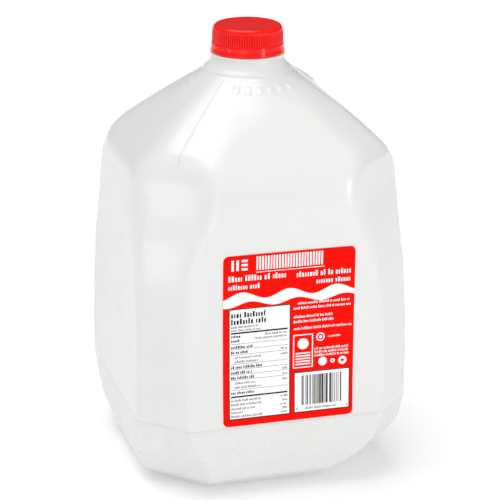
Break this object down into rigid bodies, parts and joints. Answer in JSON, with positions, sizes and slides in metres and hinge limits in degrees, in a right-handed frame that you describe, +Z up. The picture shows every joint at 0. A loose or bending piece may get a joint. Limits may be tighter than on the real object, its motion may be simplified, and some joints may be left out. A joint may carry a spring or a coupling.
{
  "type": "plastic milk jug",
  "caption": "Shut plastic milk jug with a square-shouldered body, a handle blown into one corner, a ribbed screw cap and a paper label on one face.",
  "frame": {"origin": "on the floor under the middle of the body, straight below the neck's axis", "axes": "+Z up along the neck's axis; +Y towards the handle's corner; the mould seam lies in the plane x = 0; the label is on the face that looks to +X and -Y"},
  "size_m": [0.194, 0.19, 0.2526],
  "materials": {
    "jug_plastic": "satin blown polyethylene, milky white, slightly translucent at thin edges",
    "cap_plastic": "smooth moulded red plastic with a fine-ribbed side",
    "label_paper": "coated paper printed red, with pale panels and plain bars"
  },
  "bodies": {
    "root": {"jug": "jug_plastic", "cap": "cap_plastic", "label": "label_paper"}
  },
  "joints": []
}
